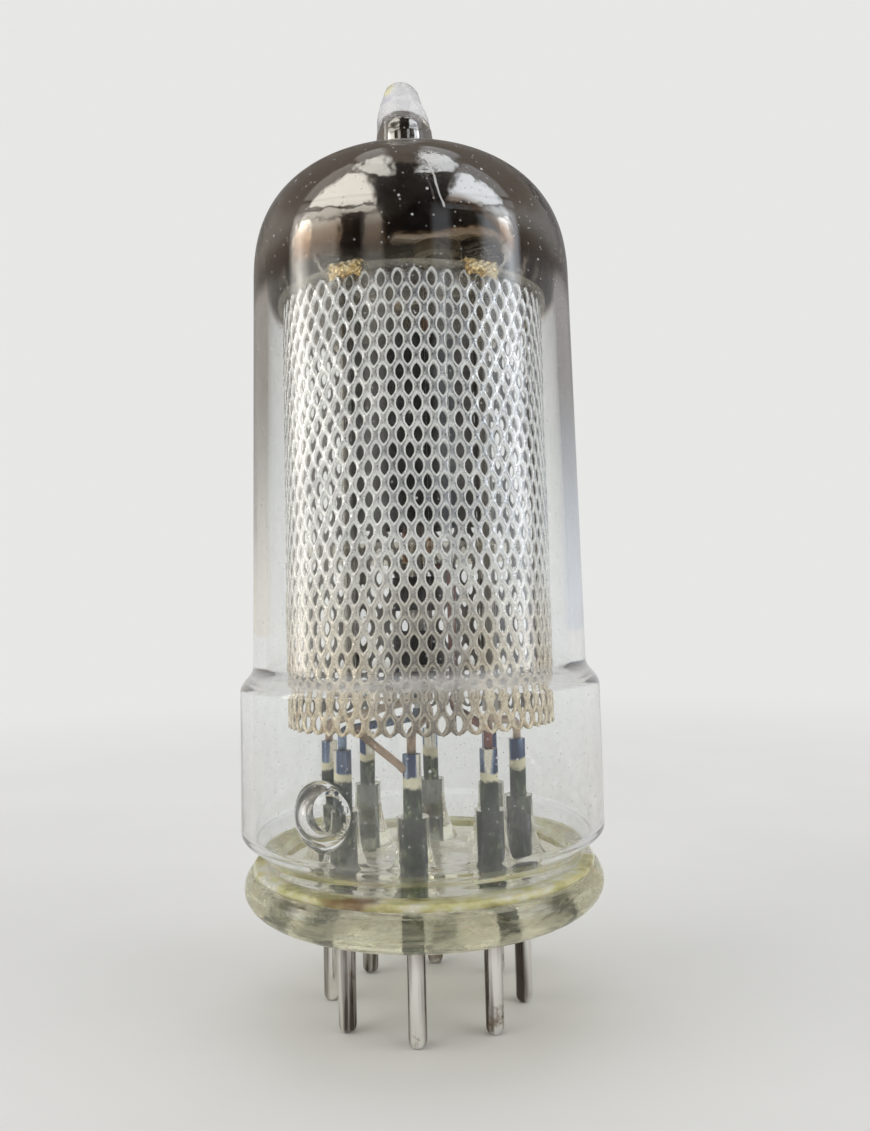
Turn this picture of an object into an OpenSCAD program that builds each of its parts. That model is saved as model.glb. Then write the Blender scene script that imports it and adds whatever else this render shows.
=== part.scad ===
// Double-diode triode with an all-glass eight-pin base, standing on its pins.
// The tube axis is +Z, the pin tips stand on z = 0, and the locating pip faces -Y.
// Angles round the axis are counted from -Y towards +X.

/* [Pins] */
// Diameter of the circle through the pin centres
pin_circle_d = 11.5; // [10:0.1:13]
// Diameter of a pin
pin_d = 1; // [0.8:0.05:1.2]
// Length of a pin below the glass base
pin_len = 5.9; // [4:0.1:9]
// Length of a pin above the inside of the glass base
pin_stub = 7.1; // [5.4:0.1:7.2]
// Height of the rounded pin tip
pin_tip_h = 0.45; // [0.2:0.05:0.5]

/* [Glass base] */
// How far the rim of the pressed base stands back from the skirt
base_inset = 0.15; // [0:0.05:0.4]
// Thickness of the pressed base
base_h = 2.4; // [2:0.1:3.2]
// Height of the rounding under the rim
base_round_h = 1.45; // [0.8:0.05:1.6]
// Inward reach of the rounding under the rim
base_round_w = 2.5; // [1:0.1:3.5]
// Height of the glass collar drawn up round each pin
collar_h = 3.8; // [2:0.1:4.4]
// Diameter of a collar at its top
collar_top_d = 1.7; // [1.5:0.05:2]
// Diameter of a collar at its foot
collar_foot_d = 3.4; // [2.6:0.1:4]

/* [Seal] */
// Thickness of the enamel between the base and the bulb
seal_h = 0.4; // [0.2:0.05:0.8]
// How far the enamel stands out past the bulb's neck
seal_lip = 0.7; // [0.2:0.05:0.8]

/* [Bulb] */
// Thickness of the blown glass
glass_wall = 0.8; // [0.6:0.05:1]
// How far the neck above the seal stands back from the skirt
neck_inset = 1.35; // [1:0.05:1.8]
// Height of the straight neck
neck_h = 0.4; // [0.2:0.05:1]
// Height of the curve from the neck out to the skirt
flare_h = 1.5; // [1:0.1:2.5]
// Diameter of the skirt
skirt_d = 21.5; // [21:0.1:22]
// Height of the straight skirt
skirt_h = 8.1; // [6:0.1:12]
// Height of the curve from the skirt in to the barrel
shoulder_h = 1.4; // [1:0.1:2.5]
// Diameter at the foot of the barrel
barrel_d = 20; // [19.6:0.1:20.6]
// How much narrower the barrel is at its top
barrel_taper = 0.5; // [0:0.05:0.9]
// Height of the dome above the barrel
dome_h = 7.7; // [6.5:0.1:9.8]
// Squareness of the dome, where 2 is an ellipse
dome_power = 2.7; // [2:0.1:3.4]
// Height of the exhaust tip above the dome
tip_h = 5.8; // [4:0.1:8]
// Diameter of the exhaust tip
tip_d = 3.5; // [2.6:0.1:4.2]
// Diameter of the drawn-off end of the tip
nib_d = 2.5; // [1.6:0.1:2.5]
// Diameter of the locating pip
pip_d = 3.4; // [2:0.1:3.6]
// How far the locating pip stands out of the skirt
pip_rise = 1.1; // [0.6:0.05:1.3]
// Height of the pip's centre above the foot of the skirt
pip_lift = 2.4; // [1.5:0.1:4]

/* [Mesh shield] */
// Gap between the shield and the glass at the top of the barrel
shield_gap = 0.95; // [0.6:0.05:1.5]
// Thickness of the expanded sheet
shield_wall = 0.15; // [0.1:0.01:0.25]
// Height of the shield
shield_h = 24.87; // [22:0.1:30]
// Height of the shield's foot above the inside of the glass base
shield_lift = 8.25; // [8.1:0.05:10]
// Width of one strand of the expanded sheet
strand_w = 0.58; // [0.4:0.02:0.8]
// Height left between the shield and the foot of the dome
head_room = 1.48; // [1.2:0.05:3]

/* [Electrodes] */
// Thickness of a mica disc
mica_t = 0.25; // [0.15:0.05:0.4]
// Height of the bottom mica above the foot of the shield
mica_inset = 1.9; // [1.8:0.05:2.4]
// Outer diameter of the cathode sleeve
cathode_d = 1.2; // [1.15:0.05:1.3]
// Diameter of one leg of the heater
heater_d = 0.4; // [0.3:0.02:0.42]
// Height of one diode plate
diode_h = 2; // [1.2:0.1:2.6]
// Outer diameter of a diode plate
diode_d = 3.2; // [2.8:0.1:3.6]
// Space above and below each diode plate
diode_space = 1.25; // [1.2:0.05:2]
// Distance of a grid rod from the axis
grid_rod_r = 1.2; // [1.15:0.05:1.3]
// Diameter of a grid rod
grid_rod_d = 0.4; // [0.3:0.02:0.5]
// Height of one turn of the grid winding
grid_pitch = 0.6; // [0.5:0.05:1]
// Outer diameter of the triode anode
anode_d = 4.4; // [4:0.1:5]
// Space above and below the triode anode
anode_space = 1.5; // [1:0.1:3]
// Width of the folded wing on each side of the anode
wing_w = 1.5; // [1:0.1:2]
// Diameter of a support rod
rod_d = 1; // [0.8:0.05:1.2]
// Thickness of the nickel sheet
sheet_t = 0.12; // [0.08:0.01:0.2]
// Diameter of the connecting wires
wire_d = 0.5; // [0.4:0.05:0.6]
// Width of a clip on the rim of the top mica
clip_w = 1.9; // [1.2:0.1:2.5]
// Diameter of the getter ring through the middle of its channel
getter_d = 2.4; // [2:0.1:3]

/* [Hidden] */
$fn = 64;

// Clearances
fit = 0.03;
hole_fit = 0.02;
joint_overlap = 0.05;

// Pins stand on eight equal divisions, half a division to each side of the pip
pin_count = 8;
pin_step = 360 / pin_count;
pin_circle_r = pin_circle_d / 2;
function pin_angle(k) = pin_step * (k - 0.5);

// Levels of the glass, from the pin tips up
base_z = pin_len;
base_top = base_z + base_h;
seal_top = base_top + seal_h;
flare_z = seal_top + neck_h;
skirt_z = flare_z + flare_h;
skirt_top = skirt_z + skirt_h;
barrel_z = skirt_top + shoulder_h;
shield_z = base_top + shield_lift;
shield_top = shield_z + shield_h;
dome_z = shield_top + head_room;
apex_z = dome_z + dome_h;
tip_top = apex_z + tip_h;
pin_top = base_top + pin_stub;

// Widths of the glass, and the shape of the tip and of the pip
base_d = skirt_d - 2 * base_inset;
neck_d = skirt_d - 2 * neck_inset;
barrel_top_r = (barrel_d - barrel_taper) / 2;
curve_steps = 8;
dome_steps = 14;
shank_share = 0.62;
nib_share = 0.72;
tip_flare = 0.9;
tip_flare_h = 1.25;
tip_bore = 2.2;
tip_bore_end = 0.3;
pip_z = skirt_z + pip_lift;
pip_y = skirt_d / 2 + pip_rise - pip_d / 2;
pip_wall = 0.6;
film_t = 0.05;
film_drop = 0.9;

// The shield is a sheet slit and stretched into diamonds, in rows that interlock
shield_r = barrel_top_r - glass_wall - shield_gap;
shield_inner_r = shield_r - shield_wall;
shield_cols = 32;
shield_rows = 17;
col_step = 360 / shield_cols;
diamond_w = 2 * PI * shield_r / shield_cols;
diamond_h = 2 * (shield_h - strand_w) / (shield_rows + 1);
// A gap is the diamond drawn in by half a strand, measured square to its sides
diamond_reach = diamond_w * diamond_h / 2 / norm([diamond_w, diamond_h]);
gap_share = 1 - strand_w / 2 / diamond_reach;
gap_w = diamond_w * gap_share;
gap_h = diamond_h * gap_share;

// Levels of the electrodes, stacked between the micas
bottom_mica_z = shield_z + mica_inset;
bottom_mica_top = bottom_mica_z + mica_t;
diode_z_1 = bottom_mica_top + diode_space;
diode_z_2 = diode_z_1 + diode_h + diode_space;
middle_mica_z = diode_z_2 + diode_h + diode_space;
middle_mica_top = middle_mica_z + mica_t;
top_mica_z = shield_top + fit;
top_mica_top = top_mica_z + mica_t;
anode_z = middle_mica_top + anode_space;
anode_top = top_mica_z - anode_space;
cathode_wall = 0.1;
cathode_tail = 0.8;
cathode_z = bottom_mica_z - cathode_tail;
cathode_top = top_mica_top + 0.3;
heater_drop = 1.2;
heater_tail = 0.4;
heater_gap = 0.1;
heater_leg_x = (heater_d + heater_gap) / 2;
heater_z = cathode_z - heater_tail;
grid_tail = 0.25;
grid_rod_z = middle_mica_z - grid_tail;
grid_rod_top = top_mica_top + 0.4;
grid_wire_d = 0.08;
rod_tail = 0.6;
rod_top = top_mica_top + rod_tail;
rod_z_1 = bottom_mica_z - 1.4;
rod_z_2 = bottom_mica_z - 0.5;
anode_r = anode_d / 2;
rod_r = anode_r + wing_w + fit + rod_d / 2;
diode_ear = 0.6;
diode_ear_r = diode_d / 2 + diode_ear;
mica_r = shield_inner_r - fit;
top_mica_rim = 0.3;
top_mica_r = shield_r + top_mica_rim;

// What stands inside: the anode rods over pins 3 and 7, the grid over pins 2 and 6, and the clips
rod_angle = pin_angle(3);
grid_angle = pin_angle(2);
clip_angles = [4, 54, 184, 234];
clip_in = 0.9;
clip_t = 0.15;
clip_drop = 0.45;

// Wires, each with its bends at levels that follow what it joins
wire_r = wire_d / 2;
wire_sides = 8;
bend_steps = 3;
bend_r = 0.4;
lead_rise = 1.1;
lead_end = 0.5;
lead_bend_z = pin_top + lead_rise;
under_mica = 1;
mica_clear = 0.15;
lead_heater_x = wire_r + heater_gap / 2;
grid_lead_r = diode_ear_r + wire_d + 0.3;
grid_run_z = grid_rod_z - 0.5;
diode_lead_r = diode_ear_r + wire_r + fit;
getter_r = 1.7;
getter_lift = 3.8;
getter_z = top_mica_top + getter_lift;
getter_channel_d = 0.7;
getter_bend = 0.75;

// Position at a radius and an angle
function polar(r, a) = [r * sin(a), -r * cos(a)];
function pin_place(k) = polar(pin_circle_r, pin_angle(k));

// Outlines of the blown glass, moved in by an inset
function ease(t) = (1 - cos(180 * t)) / 2;
function curve(r0, z0, r1, z1, steps) =
  [for (k = [0 : steps]) [r0 + (r1 - r0) * ease(k / steps), z0 + (z1 - z0) * k / steps]];
function dome(inset, steps) =
  [for (k = [0 : steps])
    [(barrel_top_r - inset) * pow(cos(90 * k / steps), 2 / dome_power),
     dome_z + (dome_h - inset) * pow(sin(90 * k / steps), 2 / dome_power)]];
function side(inset) = concat(
  [[neck_d / 2 - inset, seal_top]],
  curve(neck_d / 2 - inset, flare_z, skirt_d / 2 - inset, skirt_z, curve_steps),
  curve(skirt_d / 2 - inset, skirt_top, barrel_d / 2 - inset, barrel_z, curve_steps)
);
function outline(inset) = concat([[0, seal_top]], side(inset), dome(inset, dome_steps));

// The exhaust tip: a flared foot, a straight shank and a drawn-off round end
module tip_outline() {
  foot_z = apex_z - glass_wall / 3;
  shank_z = apex_z + tip_h * shank_share;
  nib_z = apex_z + tip_h * nib_share;
  polygon(concat(
    [[0, apex_z - glass_wall]],
    [for (t = [0 : 0.2 : 1]) [tip_d / 2 + tip_flare * pow(1 - t, 2), foot_z + tip_flare_h * t]],
    [[tip_d / 2, shank_z]],
    [for (t = [0 : 0.25 : 1])
      [nib_d / 2 * pow(cos(90 * t), 0.7), nib_z + (tip_top - nib_z) * sin(90 * t)]]
  ));
}

module glass_bulb() {
  color([0.86, 0.89, 0.9, 0.35])
    difference() {
      union() {
        rotate_extrude()
          polygon(outline(0));
        rotate_extrude()
          tip_outline();
        translate([0, -pip_y, pip_z])
          sphere(d = pip_d);
      }
      rotate_extrude()
        polygon(outline(glass_wall));
      translate([0, 0, base_z])
        cylinder(h = seal_top + neck_h / 2 - base_z, d = neck_d - 2 * glass_wall);
      translate([0, -pip_y, pip_z])
        sphere(d = pip_d - 2 * pip_wall);
      translate([0, 0, apex_z - glass_wall - joint_overlap])
        cylinder(h = tip_bore, d1 = tip_d - 2 * glass_wall, d2 = tip_bore_end);
    }
}

// One glass collar, hollowed in a curve from its foot to its top
module collar() {
  top_r = collar_top_d / 2;
  foot_r = collar_foot_d / 2;
  rotate_extrude()
    polygon(concat(
      [[0, -joint_overlap], [foot_r, -joint_overlap]],
      [for (t = [0 : 0.2 : 1]) [top_r + (foot_r - top_r) * pow(1 - t, 3), collar_h * t]],
      [[0, collar_h]]
    ));
}

module glass_base() {
  upper_h = base_h - base_round_h;
  upper_w = base_d / 2 - (neck_d / 2 + seal_lip);
  color([0.87, 0.86, 0.7, 0.5])
    difference() {
      union() {
        rotate_extrude()
          polygon(concat(
            [[0, base_z]],
            [for (a = [0 : 11.25 : 90])
              [base_d / 2 - base_round_w * (1 - sin(a)), base_z + base_round_h * (1 - cos(a))]],
            [for (a = [18 : 18 : 90])
              [base_d / 2 - upper_w * (1 - cos(a)), base_z + base_round_h + upper_h * sin(a)]],
            [[0, base_top]]
          ));
        for (k = [1 : pin_count])
          translate([pin_place(k)[0], pin_place(k)[1], base_top])
            collar();
      }
      for (k = [1 : pin_count])
        translate([pin_place(k)[0], pin_place(k)[1], base_z - 1])
          cylinder(h = pin_top - base_z + 1, d = pin_d);
    }
}

module enamel_seal() {
  inner_r = neck_d / 2 - glass_wall;
  bulge = seal_h / 2;
  color([0.86, 0.83, 0.5, 0.8])
    rotate_extrude()
      polygon(concat(
        [[inner_r, seal_top], [inner_r, base_top]],
        [for (a = [-90 : 22.5 : 90])
          [neck_d / 2 + seal_lip - bulge + bulge * cos(a), base_top + bulge + bulge * sin(a)]]
      ));
}

// One pin, with its tip drawn in to a blunt round end and a seam where it enters the glass
module pin(k) {
  pin_r = pin_d / 2;
  flat = 0.35;  // radius left flat at the end, as a share of the pin's
  color([0.8, 0.8, 0.78])
    translate([pin_place(k)[0], pin_place(k)[1], 0])
      rotate_extrude()
        polygon(concat(
          [[0, 0]],
          [for (a = [0 : 18 : 90])
            [pin_r * (flat + (1 - flat) * sin(a)), pin_tip_h * (1 - cos(a))]],
          [[pin_r, base_z], [pin_r, pin_top], [0, pin_top]]
        ));
}

// Corner of a diamond gap: 0 left, 1 bottom, 2 right, 3 top
function corner(r, i, j, v) =
  let (
    a = (i + (j % 2) / 2) * col_step + [-1, 0, 1, 0][v] * gap_w / diamond_w * col_step / 2,
    z = shield_z + strand_w / 2 + (j + 1) * diamond_h / 2 + [0, -1, 0, 1][v] * gap_h / 2
  )
  [r * sin(a), -r * cos(a), z];
// Cut edge of the sheet: 0 the tooth over or under a gap, 1 the notch to its right
function tooth(r, i, edge, v) =
  let (
    j = edge * (shield_rows - 1),
    a = (i + (j % 2) / 2 + v / 2) * col_step,
    reach = (diamond_h + strand_w) / 2 - v * diamond_h / 2,
    z = shield_z + strand_w / 2 + (j + 1) * diamond_h / 2 + (2 * edge - 1) * reach
  )
  [r * sin(a), -r * cos(a), z];
function wrap(i) = (i + shield_cols) % shield_cols;
function gap_id(i, j, v, s) = ((s * shield_rows + j) * shield_cols + wrap(i)) * 4 + v;
function tooth_id(i, edge, v, s) =
  8 * shield_rows * shield_cols + ((s * 2 + edge) * shield_cols + wrap(i)) * 2 + v;
function above(i, j, v, s) =
  j == shield_rows - 1 ? tooth_id(i, 1, 1, s) : gap_id(i + j % 2, j + 1, v, s);
function below(i, j, v, s) =
  j == 0 ? tooth_id(i, 0, 1, s) : gap_id(i + j % 2, j - 1, v, s);
// Faces that lie on the sheet, each strand and each crossing, on side s
function sheet_faces(s) = concat(
  [for (j = [0 : shield_rows - 2], i = [0 : shield_cols - 1])
    [gap_id(i, j, 2, s), gap_id(i + j % 2, j + 1, 1, s),
     gap_id(i + j % 2, j + 1, 0, s), gap_id(i, j, 3, s)]],
  [for (j = [0 : shield_rows - 2], i = [0 : shield_cols - 1])
    [gap_id(i, j, 0, s), gap_id(i, j, 3, s),
     gap_id(i + j % 2 - 1, j + 1, 2, s), gap_id(i + j % 2 - 1, j + 1, 1, s)]],
  [for (j = [0 : shield_rows - 1], i = [0 : shield_cols - 1])
    [gap_id(i, j, 2, s), below(i, j, 3, s), gap_id(i + 1, j, 0, s), above(i, j, 1, s)]],
  [for (i = [0 : shield_cols - 1])
    [gap_id(i, 0, 0, s), tooth_id(i - 1, 0, 1, s), tooth_id(i, 0, 0, s), gap_id(i, 0, 1, s)]],
  [for (i = [0 : shield_cols - 1])
    [gap_id(i, 0, 1, s), tooth_id(i, 0, 0, s), tooth_id(i, 0, 1, s), gap_id(i, 0, 2, s)]],
  let (j = shield_rows - 1)
  [for (i = [0 : shield_cols - 1])
    [gap_id(i, j, 2, s), tooth_id(i, 1, 1, s), tooth_id(i, 1, 0, s), gap_id(i, j, 3, s)]],
  let (j = shield_rows - 1)
  [for (i = [0 : shield_cols - 1])
    [gap_id(i, j, 3, s), tooth_id(i, 1, 0, s), tooth_id(i - 1, 1, 1, s), gap_id(i, j, 0, s)]]
);
// Walls across the sheet's thickness, inside each gap and along the cut edges
function across(a, b) = [a[0], b[0], b[1], a[1]];
function gap_pair(i, j, v) = [gap_id(i, j, v % 4, 0), gap_id(i, j, v % 4, 1)];
function tooth_pair(i, edge, v) = [tooth_id(i, edge, v, 0), tooth_id(i, edge, v, 1)];
wall_faces = concat(
  [for (j = [0 : shield_rows - 1], i = [0 : shield_cols - 1], v = [0 : 3])
    across(gap_pair(i, j, v), gap_pair(i, j, v + 1))],
  [for (i = [0 : shield_cols - 1]) across(tooth_pair(i, 0, 0), tooth_pair(i - 1, 0, 1))],
  [for (i = [0 : shield_cols - 1]) across(tooth_pair(i, 0, 1), tooth_pair(i, 0, 0))],
  [for (i = [0 : shield_cols - 1]) across(tooth_pair(i, 1, 0), tooth_pair(i, 1, 1))],
  [for (i = [0 : shield_cols - 1]) across(tooth_pair(i - 1, 1, 1), tooth_pair(i, 1, 0))]
);
function flip(faces) = [for (q = faces) [q[3], q[2], q[1], q[0]]];
function halves(faces) = [for (q = faces, h = [0, 1]) h == 0 ? [q[0], q[1], q[2]] : [q[0], q[2], q[3]]];

module mesh_shield() {
  radii = [shield_r, shield_inner_r];
  color([0.82, 0.81, 0.78])
    polyhedron(
      points = concat(
        [for (s = [0, 1], j = [0 : shield_rows - 1], i = [0 : shield_cols - 1], v = [0 : 3])
          corner(radii[s], i, j, v)],
        [for (s = [0, 1], edge = [0, 1], i = [0 : shield_cols - 1], v = [0, 1])
          tooth(radii[s], i, edge, v)]
      ),
      faces = halves(concat(flip(sheet_faces(0)), sheet_faces(1), flip(wall_faces)))
    );
}

// A hole through a mica at a radius and an angle
module mica_hole(r, a, d) {
  translate([polar(r, a)[0], polar(r, a)[1], -1])
    cylinder(h = mica_t + 2, d = d + 2 * hole_fit);
}

module rod_holes() {
  mica_hole(rod_r, rod_angle, rod_d);
  mica_hole(rod_r, rod_angle + 180, rod_d);
}

module grid_holes() {
  mica_hole(grid_rod_r, grid_angle, grid_rod_d);
  mica_hole(grid_rod_r, grid_angle + 180, grid_rod_d);
}

module top_mica() {
  color([0.8, 0.78, 0.7, 0.7])
    translate([0, 0, top_mica_z])
      difference() {
        cylinder(h = mica_t, r = top_mica_r);
        mica_hole(0, 0, cathode_d);
        rod_holes();
        grid_holes();
      }
}

module middle_mica() {
  color([0.8, 0.78, 0.7, 0.7])
    translate([0, 0, middle_mica_z])
      difference() {
        cylinder(h = mica_t, r = mica_r);
        mica_hole(0, 0, cathode_d);
        rod_holes();
        grid_holes();
      }
}

module bottom_mica() {
  color([0.8, 0.78, 0.7, 0.7])
    translate([0, 0, bottom_mica_z])
      difference() {
        cylinder(h = mica_t, r = mica_r);
        mica_hole(0, 0, cathode_d);
        rod_holes();
        mica_hole(grid_lead_r, grid_angle, wire_d);
        mica_hole(diode_lead_r, pin_angle(5), wire_d);
        mica_hole(diode_lead_r, pin_angle(6), wire_d);
      }
}

// Anode: a sheet tube with a folded wing on each side, welded to the support rods
module triode_anode() {
  color([0.42, 0.41, 0.4])
    translate([0, 0, anode_z])
      rotate([0, 0, rod_angle])
        linear_extrude(anode_top - anode_z)
          difference() {
            union() {
              circle(r = anode_r);
              square([2 * sheet_t, 2 * (anode_r + wing_w)], center = true);
            }
            circle(r = anode_r - sheet_t);
          }
}

module grid_rod(turn) {
  color([0.8, 0.6, 0.45])
    translate([polar(grid_rod_r, grid_angle + turn)[0], polar(grid_rod_r, grid_angle + turn)[1], grid_rod_z])
      cylinder(h = grid_rod_top - grid_rod_z, d = grid_rod_d, $fn = 24);
}

// Grid: one fine wire wound round both rods
module grid_winding() {
  steps = 10;
  sides = 4;
  wire = grid_wire_d / 2;
  wind_r = (grid_rod_r + grid_rod_d / 2 + fit + wire) / cos(180 / steps);
  turns = floor((anode_top - anode_z) / grid_pitch) - 2;
  rings = turns * steps;
  start_z = (anode_z + anode_top - turns * grid_pitch) / 2;
  points = [for (k = [0 : rings], s = [0 : sides - 1])
    let (
      a = 360 * k / steps,
      r = wind_r + wire * cos(360 * s / sides),
      z = start_z + grid_pitch * k / steps + wire * sin(360 * s / sides)
    )
    [r * sin(a), -r * cos(a), z]];
  skin = [for (k = [0 : rings - 1], s = [0 : sides - 1])
    let (n = (s + 1) % sides)
    [k * sides + s, k * sides + n, (k + 1) * sides + n, (k + 1) * sides + s]];
  ends = [
    [for (s = [sides - 1 : -1 : 0]) s],
    [for (s = [0 : sides - 1]) rings * sides + s],
  ];
  color([0.75, 0.7, 0.6])
    polyhedron(points = points, faces = concat(halves(skin), ends));
}

module cathode_sleeve() {
  color([0.75, 0.74, 0.72])
    translate([0, 0, cathode_z])
      difference() {
        cylinder(h = cathode_top - cathode_z, d = cathode_d);
        translate([0, 0, -1])
          cylinder(h = cathode_top - cathode_z + 2, d = cathode_d - 2 * cathode_wall);
      }
}

// Heater: a coated hairpin, its two legs joined at the top inside the sleeve
module heater() {
  leg_h = cathode_top - heater_drop - heater_z;
  color([0.92, 0.92, 0.9])
    translate([0, 0, heater_z]) {
      for (side = [-1, 1])
        translate([side * heater_leg_x, 0, 0])
          cylinder(h = leg_h, d = heater_d, $fn = 24);
      translate([0, 0, leg_h])
        rotate([90, 0, 0])
          rotate_extrude(angle = 180, $fn = 24)
            translate([heater_leg_x, 0])
              circle(d = heater_d, $fn = 24);
    }
}

// Diode plate: a short tube with a welding ear towards its own pin
module diode_plate(z, a) {
  color([0.5, 0.49, 0.47])
    translate([0, 0, z])
      rotate([0, 0, a])
        linear_extrude(diode_h)
          difference() {
            union() {
              circle(d = diode_d);
              translate([-sheet_t, -diode_ear_r])
                square([2 * sheet_t, diode_ear_r]);
            }
            circle(d = diode_d - 2 * sheet_t);
          }
}

module support_rod(turn, z) {
  color([0.78, 0.77, 0.74])
    translate([polar(rod_r, rod_angle + turn)[0], polar(rod_r, rod_angle + turn)[1], z])
      cylinder(h = rod_top - z, d = rod_d, $fn = 32);
}

// Clips folded over the rim of the top mica, with a tab that hangs outside the shield
module mica_clips() {
  color([0.8, 0.68, 0.4])
    for (a = clip_angles)
      rotate([0, 0, a])
        translate([-clip_w / 2, -top_mica_r - clip_t, 0]) {
          translate([0, 0, top_mica_top])
            cube([clip_w, clip_in + clip_t, clip_t]);
          translate([0, 0, top_mica_z - clip_drop])
            cube([clip_w, clip_t - hole_fit, clip_drop + mica_t + clip_t]);
        }
}

// Stations [across, height, tilt] of a wire that rises, runs aslant and rises again
// low and high are the levels of its two bends
function rise(from, to, z0, low, high, z1) =
  let (
    slope = atan2(to - from, high - low),
    cut = bend_r * tan(slope / 2)
  )
  concat(
    [[from, z0, 0]],
    [for (k = [0 : bend_steps])
      let (tilt = slope * k / bend_steps)
      [from + bend_r * (1 - cos(tilt)), low - cut + bend_r * sin(tilt), tilt]],
    [for (k = [bend_steps : -1 : 0])
      let (tilt = slope * k / bend_steps)
      [to - bend_r * (1 - cos(tilt)), high + cut - bend_r * sin(tilt), tilt]],
    [[to, z1, 0]]
  );

// A wire swept along its stations, in the upright plane through two places
module wire(from, to, stations) {
  turn = atan2(to[1] - from[1], to[0] - from[0]);
  last = len(stations) - 1;
  points = [for (p = stations, k = [0 : wire_sides - 1])
    let (a = 360 * k / wire_sides)
    [p[0] + wire_r * cos(a) * cos(p[2]), wire_r * sin(a), p[1] - wire_r * cos(a) * sin(p[2])]];
  skin = [for (j = [0 : last - 1], k = [0 : wire_sides - 1])
    let (n = (k + 1) % wire_sides)
    [(j + 1) * wire_sides + k, (j + 1) * wire_sides + n, j * wire_sides + n, j * wire_sides + k]];
  ends = [
    [for (k = [0 : wire_sides - 1]) k],
    [for (k = [wire_sides - 1 : -1 : 0]) last * wire_sides + k],
  ];
  translate([from[0], from[1], 0])
    rotate([0, 0, turn])
      polyhedron(points = points, faces = concat(halves(skin), ends));
}

// A lead that rises from pin k to a place inside
module lead(k, to, high, z1) {
  reach = norm(to - pin_place(k));
  wire(pin_place(k), to, rise(0, reach, pin_top, lead_bend_z, high, z1));
}

module heater_lead(k, side) {
  color([0.45, 0.2, 0.16])
    lead(k, [side * lead_heater_x, 0], heater_z - lead_end, heater_z);
}

// The grid lead has a long upright between two slanting runs
module grid_lead() {
  upright = pin_circle_r - grid_lead_r;
  reach = pin_circle_r - grid_rod_r;
  first = rise(0, upright, pin_top, lead_bend_z, bottom_mica_z - under_mica, grid_run_z);
  second = rise(upright, reach, grid_run_z, grid_run_z, grid_run_z, grid_rod_z);
  keep = len(first) - 2;
  color([0.85, 0.8, 0.7])
    wire(
      pin_place(2), polar(grid_rod_r, grid_angle),
      concat([for (k = [0 : keep]) first[k]], [for (k = [1 : len(second) - 1]) second[k]])
    );
}

module anode_lead() {
  color([0.62, 0.5, 0.42])
    lead(3, polar(rod_r, rod_angle), rod_z_1 - lead_end, rod_z_1);
}

module shield_lead() {
  r = shield_inner_r - wire_r - fit;
  color([0.6, 0.48, 0.38])
    lead(4, polar(r, pin_angle(4)), bottom_mica_z - under_mica - wire_r, bottom_mica_z - mica_clear);
}

module diode_lead(k, z) {
  color([0.3, 0.36, 0.55])
    lead(k, polar(diode_lead_r, pin_angle(k)), bottom_mica_z - under_mica, z + diode_h / 2);
}

module cathode_lead() {
  r = cathode_d / 2 + wire_r + fit;
  color([0.85, 0.75, 0.68])
    lead(7, polar(r, pin_angle(7)), cathode_z, bottom_mica_z - mica_clear);
}

// Getter: a channelled ring carried on a wire from the first support rod
module getter_wire() {
  reach = rod_r - getter_r - getter_d / 2;
  foot_z = getter_z - getter_channel_d / 2;
  color([0.7, 0.69, 0.66])
    wire(
      polar(rod_r, rod_angle), polar(getter_r + getter_d / 2, rod_angle),
      rise(0, reach, rod_top, rod_top + getter_bend, foot_z - getter_bend, foot_z)
    );
}

module getter_ring() {
  color([0.75, 0.7, 0.55])
    translate([polar(getter_r, rod_angle)[0], polar(getter_r, rod_angle)[1], getter_z])
      rotate_extrude()
        translate([getter_d / 2 - getter_channel_d / 2, -getter_channel_d / 2])
          difference() {
            square([getter_channel_d, getter_channel_d]);
            translate([sheet_t, sheet_t])
              square([getter_channel_d - 2 * sheet_t, getter_channel_d]);
          }
}

// Getter film: the metal mirror flashed on the inside of the dome
module getter_film() {
  outer = concat(
    [[barrel_top_r - glass_wall - hole_fit, dome_z - film_drop]], dome(glass_wall + hole_fit, 14)
  );
  inner = concat(
    [[barrel_top_r - glass_wall - hole_fit - film_t, dome_z - film_drop]],
    dome(glass_wall + hole_fit + film_t, 14)
  );
  color([0.16, 0.14, 0.12, 0.9])
    rotate_extrude()
      polygon(concat(outer, [for (k = [len(inner) - 1 : -1 : 0]) inner[k]]));
}

glass_bulb();
glass_base();
enamel_seal();
pin(1);  // pin_1
pin(2);  // pin_2
pin(3);  // pin_3
pin(4);  // pin_4
pin(5);  // pin_5
pin(6);  // pin_6
pin(7);  // pin_7
pin(8);  // pin_8
mesh_shield();
top_mica();
middle_mica();
bottom_mica();
triode_anode();
grid_rod(0);  // grid_rod_1
grid_rod(180);  // grid_rod_2
grid_winding();
cathode_sleeve();
heater();
diode_plate(diode_z_1, pin_angle(6));  // diode_plate_1
diode_plate(diode_z_2, pin_angle(5));  // diode_plate_2
support_rod(0, rod_z_1);  // support_rod_1
support_rod(180, rod_z_2);  // support_rod_2
mica_clips();
heater_lead(1, 1);  // heater_lead_1
heater_lead(8, -1);  // heater_lead_2
grid_lead();
anode_lead();
shield_lead();
diode_lead(6, diode_z_1);  // diode_lead_1
diode_lead(5, diode_z_2);  // diode_lead_2
cathode_lead();
getter_wire();
getter_ring();
getter_film();
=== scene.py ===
"""Looks of the double-diode triode tube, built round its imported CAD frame."""

import math

import bpy
from mathutils import Matrix, Vector


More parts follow.
